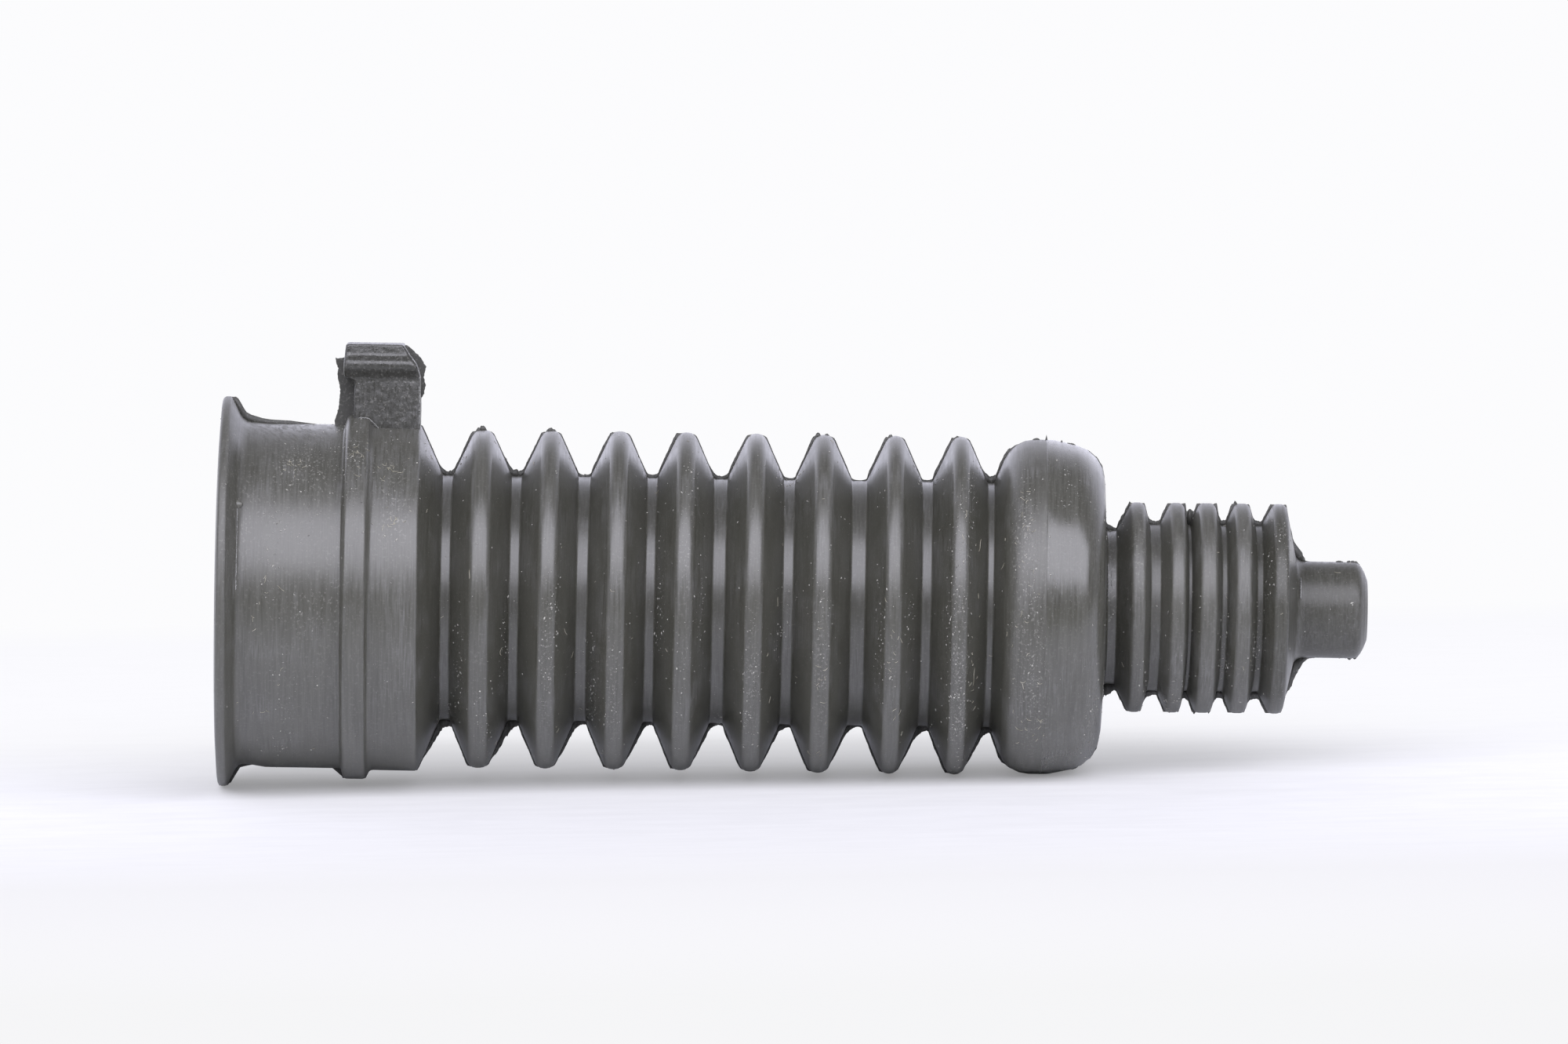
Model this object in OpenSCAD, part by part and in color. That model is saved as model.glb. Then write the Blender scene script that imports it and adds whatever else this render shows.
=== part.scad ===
// Rubber bellows boot for a steering rack and its tie rod, moulded in one piece.
// The axis of the boot is X: the large end opens at X = 0 and the neck ends at the far end.
// +Z is up, through the lug on the collar. The origin is the centre of the large end's mouth.

/* [Large end] */
// Radius of the bore that seats on the rack housing
housing_bore_r = 27; // [26:0.25:27.5]
// Outer radius of the band that the large clamp squeezes
band_r = 29.8; // [29.4:0.1:30.2]
// Outer radius of the flared lip
lip_r = 34; // [32.5:0.1:35]
// Width of the lip at its tip
lip_tip_w = 1.55; // [1:0.05:1.8]
// How far the lip's tip lies behind the front face
lip_setback = 0.6; // [0.3:0.1:1]
// Distance from the front face to the middle of the rib
rib_x = 23.9; // [22.5:0.1:25]
// Outer radius of the rib
rib_r = 31.6; // [31:0.1:32.2]
// Width of the rib over its top
rib_top_w = 3.6; // [3:0.1:4]
// Outer radius of the second band, which carries the lug
port_band_r = 30; // [29.6:0.1:30.4]
// Distance from the front face to the edge where the second band ends
shoulder_x = 34.9; // [34:0.1:36.5]

/* [Large folds] */
// Number of large folds
big_folds = 8; // [2:1:12]
// Distance from one large fold to the next
big_pitch = 11.9; // [11.4:0.1:13]
// Outer radius of the large folds
big_crest_r = 29.3; // [28.8:0.1:29.8]
// Outer radius of the valleys between the large folds
big_valley_r = 21.35; // [20.8:0.05:22]
// Width over the top of a large fold
big_crest_w = 2.8; // [2.6:0.1:3.2]
// Slope of the large folds' sides, as the run along X for each millimetre of height
big_slope = 0.46; // [0.44:0.005:0.49]

/* [Barrel] */
// Outer radius of the barrel at its crown
barrel_r = 29; // [28.4:0.1:29.6]
// Length of the barrel, from the foot of its side to its end wall
barrel_len = 19.7; // [19:0.1:21]
// Drop of the barrel's radius from the crown to the far shoulder
barrel_drop = 2.1; // [1.5:0.1:2.4]

/* [Small folds] */
// Number of small folds
small_folds = 5; // [2:1:8]
// Distance from one small fold to the next
small_pitch = 6.12; // [6.1:0.02:6.6]
// Outer radius of the small folds
small_crest_r = 18.3; // [18:0.1:18.4]
// Outer radius of the valleys between the small folds
small_valley_r = 14.5; // [14.4:0.1:14.8]
// Outer radius of the groove between the barrel and the first small fold
groove_r = 13.4; // [13:0.1:13.8]
// Width of that groove
groove_w = 1.7; // [1.5:0.1:2.3]
// Width over the top of a small fold
small_crest_w = 2.4; // [2.3:0.05:2.5]

/* [Neck] */
// Radius of the bore that grips the tie rod
rod_bore_r = 5; // [4.5:0.1:5.5]
// Outer radius of the neck
neck_r = 8.4; // [7.8:0.1:9]
// Length of the neck, from its root to its tip
neck_len = 11.8; // [10.5:0.1:14]

/* [Walls] */
// Wall of the large folds and the barrel
big_wall = 1.8; // [1.5:0.1:1.9]
// Wall of the small folds
small_wall = 1.4; // [1.2:0.05:1.45]

/* [Lug] */
// Distance from the front face to the overhanging end of the lug
lug_x = 21.6; // [21:0.1:22.5]
// Height of the lug's top above the axis
lug_top_z = 44.1; // [43:0.1:46]
// Width of the lug below its bead
lug_w = 11; // [9:0.1:13]
// How far the bead stands out from the lug's sides
lug_bead = 1; // [0.6:0.1:1.3]
// Overhang of the lug's top beyond its body
lug_overhang = 1.7; // [1.2:0.1:2.2]

/* [Hidden] */
$fn = 96;

rubber = [0.21, 0.21, 0.215];

// Places along the axis, each worked out from the one before
big_rise = big_crest_r - big_valley_r;
big_flank = big_rise * big_slope;
big_valley_w = big_pitch - big_crest_w - 2 * big_flank;
big_start = shoulder_x + (port_band_r - big_valley_r) * big_slope + big_valley_w;
barrel_start = big_start + big_folds * big_pitch - big_valley_w / 2;
barrel_end = barrel_start + barrel_len;
small_lead = 0.50;
small_trail = 0.30;
small_start = barrel_end + groove_w;
first_small_x = small_start + (small_crest_r - groove_r) * small_lead + small_crest_w / 2;
last_small_x = first_small_x + (small_folds - 1) * small_pitch;
neck_x = last_small_x + small_crest_w / 2 + (small_crest_r - neck_r) * small_trail;
tip_x = neck_x + neck_len;

// A turn is drawn with one straight piece for about this many degrees
arc_step = 16;

// The outline is a list of corners. Each one is [x, radius, rounding of the corner, wall that starts there].
function corner_dir(a, b) = let (d = [b.x - a.x, b.y - a.y]) d / norm(d);
function turn_of(a, p, b) =
    let (u = corner_dir(a, p), v = corner_dir(p, b)) atan2(u.x * v.y - u.y * v.x, u.x * v.x + u.y * v.y);

// One rounded corner: points on the arc that touches both of its sides
function rounded(a, p, b, r) =
    let (
        u = corner_dir(a, p),
        v = corner_dir(p, b),
        turn = turn_of(a, p, b),
        side = sign(turn),
        reach = r * tan(abs(turn) / 2),
        from = [p.x - u.x * reach, p.y - u.y * reach],
        middle = [from.x - side * u.y * r, from.y + side * u.x * r],
        steps = max(1, ceil(abs(turn) / arc_step))
    )
    [for (i = [0 : steps])
        let (t = turn * i / steps, w = from - middle)
        [middle.x + w.x * cos(t) - w.y * sin(t), middle.y + w.x * sin(t) + w.y * cos(t)]];

// All corners of an open outline, rounded; its two ends stay where they are
function smooth(c) = [
    [c[0].x, c[0].y],
    for (i = [1 : len(c) - 2])
        each (c[i][2] > 0 ? rounded(c[i - 1], c[i], c[i + 1], c[i][2]) : [[c[i].x, c[i].y]]),
    [c[len(c) - 1].x, c[len(c) - 1].y]
];

// The corner on the inner side of the wall: where the two inner faces meet, with the rounding that keeps
// the wall even, larger round a valley and smaller inside a crest
function inner_corner(a, p, b, wall_a, wall_p) =
    let (
        u = corner_dir(a, p),
        v = corner_dir(p, b),
        n = [u.y, -u.x],
        m = [v.y, -v.x],
        d = n.x * m.y - n.y * m.x,
        r = turn_of(a, p, b) > 0 ? p[2] + min(wall_a, wall_p) : max(p[2] - wall_p, 0)
    )
    [p.x + (wall_a * m.y - wall_p * n.y) / d, p.y + (wall_p * n.x - wall_a * m.x) / d, r, wall_p];

function inner_side(c) =
    [for (i = [1 : len(c) - 2]) inner_corner(c[i - 1], c[i], c[i + 1], c[i - 1][3], c[i][3])];

// Front face, flared lip, clamp band and rib
large_end = [
    [0, housing_bore_r, 0, 0],
    [0, band_r - 0.8, 2.4, 0],
    [lip_setback, lip_r, 0.45, 0],
    [lip_setback + lip_tip_w, lip_r, 0.5, 0],
    [lip_setback + lip_tip_w + (lip_r - band_r) * 0.5, band_r, 2, 0],
    [rib_x - rib_top_w / 2 - 0.55, band_r, 0.35, 0],
    [rib_x - rib_top_w / 2, rib_r, 0.8, 0],
    [rib_x + rib_top_w / 2, rib_r, 1, 0],
    [rib_x + rib_top_w / 2 + 0.9, port_band_r, 0.4, port_band_r - housing_bore_r]
];

// The second band's edge, the large folds and the valley before the barrel
function big_fold(x) = [
    [x, big_valley_r, 0.5, big_wall],
    [x + big_flank, big_crest_r, 1, big_wall],
    [x + big_flank + big_crest_w, big_crest_r, 1, big_wall],
    [x + 2 * big_flank + big_crest_w, big_valley_r, 0.5, big_wall]
];
large_bellows = [
    [shoulder_x, port_band_r, 0.6, big_wall],
    [big_start - big_valley_w, big_valley_r, 0.5, big_wall],
    for (i = [0 : big_folds - 1]) each big_fold(big_start + i * big_pitch)
];

// The barrel: full shoulder, crown, long fall to the far shoulder, and the flat end wall
barrel = [
    [barrel_start, big_valley_r, 0.4, big_wall],
    [barrel_start + (barrel_r - big_valley_r) * 0.4, barrel_r, 5.85, big_wall],
    [barrel_start + barrel_len * 0.45, barrel_r, 8, big_wall],
    [barrel_end - 0.65, barrel_r - barrel_drop, 7.6, big_wall],
    [barrel_end, groove_r, 0.6, small_wall]
];

// The small folds, each with a long leading side and a steep trailing one
function small_fold(x, lead_r, trail_r) = [
    [x - small_crest_w / 2 - (small_crest_r - lead_r) * small_lead, lead_r, 0.4, small_wall],
    [x - small_crest_w / 2, small_crest_r, 1.3, small_wall],
    [x + small_crest_w / 2, small_crest_r, 1.1, small_wall],
    if (trail_r > 0) [x + small_crest_w / 2 + (small_crest_r - trail_r) * small_trail, trail_r, 0.4, small_wall]
];
small_bellows = [
    for (i = [0 : small_folds - 1])
        each small_fold(first_small_x + i * small_pitch,
            i == 0 ? groove_r : small_valley_r,
            i == small_folds - 1 ? 0 : small_valley_r)
];

// The plain neck, with its rounded tip
neck = [
    [neck_x, neck_r, 0.8, neck_r - rod_bore_r],
    [tip_x - 1.5, neck_r, 0.8, 0],
    [tip_x - 0.5, rod_bore_r + 1.6, 1.2, 0],
    [tip_x, rod_bore_r + 0.3, 0.15, 0],
    [tip_x, rod_bore_r, 0, 0]
];

outside = concat(large_end, large_bellows, barrel, small_bellows, neck);
walled = concat([large_end[len(large_end) - 1]], large_bellows, barrel, small_bellows, [neck[0], neck[1]]);
inside = concat([[0, housing_bore_r, 0, 0]], inner_side(walled), [[tip_x, rod_bore_r, 0, 0]]);

// The whole revolved wall: its section is drawn with the radius across and turned about the axis,
// then laid over so that its axis is X
module revolved_wall() {
    section = concat(smooth(outside), [for (i = [len(smooth(inside)) - 2 : -1 : 1]) smooth(inside)[i]]);
    rotate([0, 90, 0])
        rotate_extrude()
            polygon([for (p = section) [p.y, p.x]]);
}

// The lug seen from the side: hooked top towards the large end, sloping corner towards the folds
lug_end_x = shoulder_x - 0.1;
lug_body_x = lug_x + lug_overhang;
lug_root_z = housing_bore_r + 1;
hook_z = lug_top_z - 5.9;
lug_side = [
    [lug_end_x, lug_root_z, 0],
    [lug_end_x, lug_top_z - 4.9, 2.5],
    [lug_end_x - 3.1, lug_top_z, 0.6],
    [lug_x, lug_top_z, 0.5],
    [lug_x - 0.15, hook_z, 0.9],
    [lug_body_x, hook_z - 0.3, 0.6],
    [lug_body_x, port_band_r + 0.1, 1.6],
    [lug_body_x - 1.9, port_band_r - 0.6, 0],
    [lug_body_x - 1.9, lug_root_z, 0]
];

// Half of the lug seen along the axis: straight side, rounded bead, narrower top
lug_half_w = lug_w / 2;
bead_z = lug_top_z - 3.3;
lug_half = [
    [lug_half_w, lug_root_z, 0],
    [lug_half_w, bead_z - 2, 0.9],
    [lug_half_w + lug_bead, bead_z - 0.9, 0.7],
    [lug_half_w + lug_bead, bead_z + 0.5, 0.7],
    [lug_half_w - 0.2, bead_z + 1.5, 0.8],
    [lug_half_w - 0.3, lug_top_z, 0.5],
    [0, lug_top_z, 0]
];

// The thin web that closes the notch under the hook, in the plane where the mould halves met
web_t = 0.8;

module lug() {
    half = smooth(lug_half);
    intersection() {
        translate([0, lug_w, 0])
            rotate([90, 0, 0])
                linear_extrude(2 * lug_w)
                    polygon(smooth(lug_side));
        translate([lug_x - 5, 0, 0])
            rotate([90, 0, 90])
                linear_extrude(lug_end_x - lug_x + 10)
                    polygon(concat(half, [for (i = [len(half) - 2 : -1 : 0]) [-half[i].x, half[i].y]]));
    }
    translate([lug_x - 0.6, -web_t / 2, lug_root_z])
        cube([lug_overhang + 1.6, web_t, hook_z + 0.6 - lug_root_z]);
}

module bellows_boot() {
    color(rubber)
        union() {
            revolved_wall();
            lug();
        }
}

bellows_boot();
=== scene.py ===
# %% [markdown]
# # A rubber bellows boot, dressed for the camera
#
# This boot keeps water and grit off a car's steering. It is one moulding of black rubber: a wide
# collar with a flared lip, eight large folds, a round barrel, five small folds and a plain neck.
# The construction model already has these forms. Here the same outline is drawn again with finer
# roundings, because rubber is read almost wholly by how light rolls over its edges, and then it
# gets what a mould and a storeroom give it: flash along the seam, grain, dust and lint.

import math

import bpy
import numpy as np
from mathutils import Matrix, Vector


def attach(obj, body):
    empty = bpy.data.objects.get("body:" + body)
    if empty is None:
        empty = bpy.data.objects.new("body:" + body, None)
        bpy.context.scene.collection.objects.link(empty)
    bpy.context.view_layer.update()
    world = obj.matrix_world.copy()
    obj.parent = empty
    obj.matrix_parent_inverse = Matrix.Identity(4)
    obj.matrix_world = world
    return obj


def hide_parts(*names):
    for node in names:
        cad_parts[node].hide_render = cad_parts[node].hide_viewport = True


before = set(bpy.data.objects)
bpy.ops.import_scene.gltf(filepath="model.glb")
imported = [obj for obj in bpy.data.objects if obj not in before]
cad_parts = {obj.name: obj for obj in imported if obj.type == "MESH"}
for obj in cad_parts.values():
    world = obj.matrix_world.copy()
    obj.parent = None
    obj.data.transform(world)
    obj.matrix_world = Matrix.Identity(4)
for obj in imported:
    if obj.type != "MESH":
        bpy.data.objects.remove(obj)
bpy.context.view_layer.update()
MM = 0.001

# %% [markdown]
# ## The outline
#
# A boot like this is a body of revolution, so all its folds come from one outline, turned about
# the axis. The outline is a short list of corners. Each corner is a place along the axis, a radius,
# and how strongly the corner is rounded. The roundings are worked out, never drawn point by point,
# so a fold can be moved by changing one number.

# %% Sizes of the large end, in millimetres
BORE_R = 27.0            # inside of the collar
BAND_R = 29.8            # the band that a clamp squeezes
LIP_R = 34.0             # the flared lip
SECOND_BAND_R = 30.0     # the band that carries the lug
RIB_R = 31.6             # the rib between the two bands
SHOULDER_X = 34.9        # where the second band ends
LEAST_ROUND = 0.15       # even a sharp edge of a moulding is a little round

large_end = [
    (0.0, 29.0, 1.0),
    (0.35, LIP_R, 0.7),
    (1.85, LIP_R, 0.6),
    (3.95, BAND_R, 2.2),
    (21.7, BAND_R, 0.35),
    (22.2, RIB_R, 0.8),
    (25.9, RIB_R, 0.7),
    (26.65, SECOND_BAND_R, 1.1),
    (SHOULDER_X, SECOND_BAND_R, 0.6),
]

# %% [markdown]
# ## Folds that have settled
#
# The mould makes eight equal folds. Real rubber is never quite even again after it has been pulled
# off its core: some folds sit a little closer to their neighbour and some crests are narrower. Each
# large fold therefore has two numbers of its own, how far it has shifted and how wide its crest is,
# while the slopes of its sides stay as the mould gave them.

# %% The large folds
PITCH = 11.9
CREST_R = 29.3
CREST_ROUND = 1.7
VALLEY_R = 21.35
VALLEY_ROUND = 0.5
SIDE_SLOPE = 0.46        # run along the axis for each millimetre of height
FIRST_CREST_X = 45.72
FLANK = (CREST_R - VALLEY_R) * SIDE_SLOPE

shifts = [0.0, -0.1, -0.05, -0.3, 0.0, -0.1, 0.42, -0.05]
crest_widths = [2.9, 2.6, 2.65, 2.6, 2.6, 2.65, 2.4, 2.3]

large_folds = [(SHOULDER_X + (SECOND_BAND_R - VALLEY_R) * SIDE_SLOPE, VALLEY_R, VALLEY_ROUND)]
for number, (shift, width) in enumerate(zip(shifts, crest_widths)):
    middle = FIRST_CREST_X + number * PITCH + shift
    large_folds += [
        (middle - width / 2 - FLANK, VALLEY_R, VALLEY_ROUND),
        (middle - width / 2, CREST_R, CREST_ROUND),
        (middle + width / 2, CREST_R, CREST_ROUND),
        (middle + width / 2 + FLANK, VALLEY_R, VALLEY_ROUND),
    ]
print("large folds:", len(shifts), "last valley at", round(large_folds[-1][0], 2), "mm")

# %% The barrel, the small folds and the neck
BARREL_R = 29.0
BARREL_START = 134.97
BARREL_END = 154.67
NEAR_ROUND, FAR_ROUND = 5.85, 6.4     # the barrel's two shoulders
FALL_X, FALL = 145.1, 1.9             # from here it falls by so much to its far shoulder
GROOVE_R = 13.4
FOOT_SLOPE = 0.4         # run for each millimetre of height on the barrel's near side
SMALL_PITCH = 6.12
SMALL_CREST_R = 18.3
SMALL_VALLEY_R = 14.5
FIRST_SMALL_X = 160.2
NECK_R = 8.4
ROD_R = 5.0
TIP_X = 200.47

SEAM_RING_X = 143.9      # a fine ring where two parts of the mould met
RING_HALF, RING_HIGH, RING_ROUND = 0.1, 0.045, 0.03
barrel_foot = BARREL_START + FOOT_SLOPE * (BARREL_R - VALLEY_R)
barrel = [
    (BARREL_START, VALLEY_R, 0.4),
    (barrel_foot, BARREL_R, NEAR_ROUND),
    (SEAM_RING_X - RING_HALF, BARREL_R, RING_ROUND),
    (SEAM_RING_X, BARREL_R + RING_HIGH, RING_ROUND),
    (SEAM_RING_X + RING_HALF, BARREL_R, RING_ROUND),
    (FALL_X, BARREL_R, 5.0),
    (BARREL_END - 0.65, BARREL_R - FALL, FAR_ROUND),
    (BARREL_END, GROOVE_R, 0.6),
]

# A small fold is saw-toothed: its leading side is long and its trailing side steep.
# Each has its shift along the axis, its crest's width, and the slopes of both sides. The valley
# between the second and the third is pinched sharp.
small_fold_table = [(0.0, 2.25, 0.52, 0.28), (0.82, 2.35, 0.47, 0.20), (0.0, 2.70, 0.40, 0.26),
                    (-0.05, 2.45, 0.40, 0.30), (0.42, 2.2, 0.53, 0.21)]
SMALL_CREST_ROUNDS = (1.1, 1.0)
SMALL_VALLEY_ROUND, PINCHED = 0.4, 0.06
small_folds = []
for number, (shift, width, leading, trailing) in enumerate(small_fold_table):
    middle = FIRST_SMALL_X + number * SMALL_PITCH + shift
    foot = GROOVE_R if number == 0 else SMALL_VALLEY_R
    small_folds += [
        (middle - width / 2 - (SMALL_CREST_R - foot) * leading, foot,
         PINCHED if number == 2 else SMALL_VALLEY_ROUND),
        (middle - width / 2, SMALL_CREST_R, SMALL_CREST_ROUNDS[0]),
        (middle + width / 2, SMALL_CREST_R, SMALL_CREST_ROUNDS[1]),
    ]
    if number < len(small_fold_table) - 1:
        small_folds.append((middle + width / 2 + (SMALL_CREST_R - SMALL_VALLEY_R) * trailing,
                            SMALL_VALLEY_R, PINCHED if number == 1 else SMALL_VALLEY_ROUND))

neck_root = middle + width / 2 + (SMALL_CREST_R - NECK_R) * trailing
neck = [
    (neck_root, NECK_R, 1.6),
    (TIP_X - 1.5, NECK_R, 1.6),
    (TIP_X - 0.5, ROD_R + 1.6, 1.0),
    (TIP_X, ROD_R + 0.3, 0.15),
]
outside = np.array(large_end + large_folds + barrel + small_folds + neck)
print("corners outside:", len(outside))

# %% [markdown]
# ## The inside
#
# The wall has an even thickness, so the inner line is the outer line moved inwards. Moving a line
# of corners inwards means moving every side by the wall, and finding where the moved sides meet. A
# corner that is hollow from outside gets a larger rounding inside, and a crest gets a smaller one.

# %% A wall of even thickness
BIG_WALL, SMALL_WALL = 1.8, 1.4
COLLAR_WALL, NECK_WALL = SECOND_BAND_R - BORE_R, NECK_R - ROD_R


def inner_corners(corners, wall):
    """Every side of the outline moves inwards by the wall; two neighbouring moved sides meet in the
    new corner. Solved as p + (wall_before * m - wall_after * n) turned by a right angle, over n x m."""
    place = corners[:, :2]
    side = np.diff(place, axis=0)
    side /= np.hypot(side[:, 0], side[:, 1])[:, None]
    normal = np.stack([side[:, 1], -side[:, 0]], 1)
    n, m = normal[:-1], normal[1:]
    before, after = wall[:-1, None], wall[1:, None]
    cross = (n[:, 0] * m[:, 1] - n[:, 1] * m[:, 0])[:, None]
    turned = np.stack([before[:, 0] * m[:, 1] - after[:, 0] * n[:, 1],
                       after[:, 0] * n[:, 0] - before[:, 0] * m[:, 0]], 1)
    hollow = side[:-1, 0] * side[1:, 1] - side[:-1, 1] * side[1:, 0] > 0
    rounding = np.where(hollow, corners[1:-1, 2] + np.minimum(before, after)[:, 0],
                        np.maximum(corners[1:-1, 2] - after[:, 0], LEAST_ROUND))
    return np.column_stack([place[1:-1] + turned / cross, rounding])


ring_free = [row for row in barrel if row[2] > RING_ROUND]
walled = np.array(large_end[-2:] + large_folds + ring_free + small_folds + neck[:2])
sides = np.full(len(walled) - 1, SMALL_WALL)
sides[:1 + len(large_folds) + len(ring_free)] = BIG_WALL
sides[0], sides[-1] = COLLAR_WALL, NECK_WALL
inner = inner_corners(walled, sides)
inside = np.vstack([[0, BORE_R, 0.3], inner, [TIP_X, ROD_R, LEAST_ROUND]])
print("corners inside:", len(inside))

# %% Rounding the corners
def rounded_loop(corners, step):
    """A closed line of corners with every corner replaced by an arc that touches both its sides.
    The arc starts radius * tan(turn / 2) before the corner, and turns by equal steps. Returns the
    points and the direction in which the line runs at each of them."""
    place, radius = corners[:, :2], corners[:, 2]
    before = place - np.roll(place, 1, 0)
    after = np.roll(place, -1, 0) - place
    before /= np.hypot(before[:, 0], before[:, 1])[:, None]
    after /= np.hypot(after[:, 0], after[:, 1])[:, None]
    turn = np.arctan2(before[:, 0] * after[:, 1] - before[:, 1] * after[:, 0], (before * after).sum(1))
    start = place - before * (radius * np.tan(np.abs(turn) / 2))[:, None]
    heading = np.arctan2(before[:, 1], before[:, 0])
    points, headings = [], []
    for k in range(len(corners)):
        parts = max(1 if radius[k] <= LEAST_ROUND else 2, math.ceil(abs(turn[k]) / step[k])) + 1
        angle = heading[k] + turn[k] * np.linspace(0, 1, parts)
        swing = math.copysign(radius[k], turn[k])
        points.append(start[k] + swing * np.stack([np.sin(angle) - math.sin(heading[k]),
                                                   math.cos(heading[k]) - np.cos(angle)], 1))
        headings.append(angle)
    return np.vstack(points), np.concatenate(headings)


def split_long_runs(points, headings, longest):
    """Adds points on straight runs, so that no step along the line is longer than the one given.
    Every run is cut into equal parts; the first part keeps the arc's heading, the rest the run's."""
    step = np.roll(points, -1, 0) - points
    parts = np.maximum(1, np.ceil(np.hypot(step[:, 0], step[:, 1]) / longest).astype(int))
    source = np.repeat(np.arange(len(points)), parts)
    count = np.arange(len(source)) - np.repeat(np.cumsum(parts) - parts, parts)
    share = (count / parts[source])[:, None]
    run = np.arctan2(step[:, 1], step[:, 0])
    return points[source] + step[source] * share, np.where(count == 0, headings[source], run[source])


FINE, COARSE = math.radians(22), math.radians(65)
corners = np.vstack([outside, inside[::-1]])
step = np.where(np.arange(len(corners)) < len(outside), FINE, COARSE)
line, heading = split_long_runs(*rounded_loop(corners, step), longest=4.0)
along = np.concatenate([[0], np.cumsum(np.hypot(*np.diff(line, axis=0).T))])
print("points round the section:", len(line), "length of the line, mm:", round(along[-1], 1))

# %% [markdown]
# ## From a drawn section to rubber
#
# The section is turned about the axis on a grid: one parameter runs along the line, the other runs
# round the boot. A turned shape is too perfect, so every place goes through one gentle bend first:
# the folds lean a little because the boot has lain on its side, and the lip isn't quite flat. The
# shading normals are worked out from the same formula and not from the mesh, so the narrow crests
# stay crisp although the mesh is light.

# %% The bend that turns a drawing into rubber
LEAN = 0.0055            # how far the folds' tops lie ahead of their bottoms, for each mm of height
SMALL_LEAN = 0.008       # the same for the small folds, which lean more
SMALL_ASIDE = 0.02       # how far they are turned away from the camera, for each mm of depth
NEAR_SIDE = 17.0         # the depth that stays where it was drawn, in mm
SAG = 0.4                # everything but the lip bulges down by this much, in mm
LIP_RISE = 0.45          # the floor has pushed the soft lip up by this much, in mm
RIPPLE = 0.035           # the surface wanders by this much, in mm


def fade(x, start, end):
    """0 before start, 1 after end, and a smooth s-shaped step between them."""
    t = np.clip((x - start) / (end - start), 0, 1)
    return t * t * (3 - 2 * t)


def rubber_place(x, r, turn):
    """A drawn place (x, r) at an angle from the top becomes a place in space, in mm. The radius
    wanders by two slow waves and grows a little underneath; x is shifted in proportion to the height
    in the folds; the lip moves up as a whole; and the small folds turn about the upright at their
    near side."""
    wave = np.sin(3 * turn + 0.11 * x) + 0.6 * np.sin(5 * turn - 0.07 * x + 1.3)
    lip = (1 - fade(x, 3.5, 9)) * fade(r, 26, 31)
    sag = np.maximum(-np.cos(turn), 0) ** 2 * fade(r, 22, 28) * (1 - lip)
    r = r + RIPPLE * wave * fade(r, 6, 12) + LIP_RISE * np.cos(turn) * lip + SAG * sag
    high = r * np.cos(turn)
    folds = fade(x, 36, 60) * (1 - fade(x, 153, 158))
    small = fade(x, 155, 170) * (1 - fade(x, 187, 191))
    x = x + (LEAN * folds + SMALL_LEAN * small) * high
    x = x + SMALL_ASIDE * small * (r * np.sin(turn) - NEAR_SIDE)
    return np.stack(np.broadcast_arrays(x, -r * np.sin(turn), high), -1)


def rubber_normal(x, r, turn, heading):
    """The surface runs along the drawn heading and round the axis; the normal is square to both.
    Both runs are taken as small differences of rubber_place, so they follow the bend exactly."""
    small = 1e-3
    dx, dr = small * np.cos(heading), small * np.sin(heading)
    on = rubber_place(x + dx, r + dr, turn) - rubber_place(x - dx, r - dr, turn)
    around = rubber_place(x, r, turn + small) - rubber_place(x, r, turn - small)
    normal = np.cross(around, on)
    return normal / np.linalg.norm(normal, axis=-1, keepdims=True)


# %% Mesh helpers
def new_object(name, vertices, *face_lists):
    """A smooth-shaded mesh object at the origin, from places in mm and rows of vertex numbers."""
    faces = [tuple(face) for rows in face_lists for face in np.asarray(rows).tolist()]
    mesh = bpy.data.meshes.new(name)
    mesh.from_pydata((np.asarray(vertices) * MM).tolist(), [], faces)
    mesh.validate()
    mesh.shade_smooth()
    made = bpy.data.objects.new(name, mesh)
    bpy.context.scene.collection.objects.link(made)
    return made


def grid_faces(rows, columns, close_rows=False, close_columns=False):
    """Quads of a grid of rows x columns vertices, joined end to end where a direction is closed."""
    i = np.arange(rows if close_rows else rows - 1)[:, None]
    j = np.arange(columns if close_columns else columns - 1)[None, :]
    ahead, beside = (i + 1) % rows, (j + 1) % columns
    corner = [i * columns + j, ahead * columns + j, ahead * columns + beside, i * columns + beside]
    return np.stack([np.broadcast_to(c, (i.size, j.size)).ravel() for c in corner], 1)


def point_attribute(made, name, values):
    """Stores one number, or one vector, for each vertex, for the material to read."""
    values = np.asarray(values, np.float32)
    kind, field = ("FLOAT", "value") if values.ndim == 1 else ("FLOAT_VECTOR", "vector")
    layer = made.data.attributes.new(name, kind, "POINT")
    layer.data.foreach_set(field, values.ravel())


# %% Turn the section into the boot
AROUND = 176
turn = np.arange(AROUND) / AROUND * 2 * math.pi
x_grid, r_grid, heading_grid = line[:, 0, None], line[:, 1, None], heading[:, None]
places = rubber_place(x_grid, r_grid, turn[None, :])
normals = rubber_normal(x_grid, r_grid, turn[None, :], heading_grid)
boot = new_object("bellows_boot_rubber", places.reshape(-1, 3),
                  grid_faces(len(line), AROUND, close_rows=True, close_columns=True)[:, ::-1])
boot.data.normals_split_custom_set_from_vertices(normals.reshape(-1, 3).tolist())

outward = (normals * places * [0, 1, 1]).sum(-1)
print("triangles in the boot:", 2 * len(line) * AROUND, "share of normals that look outwards:",
      round(float((outward > 0).mean()), 2))

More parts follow.
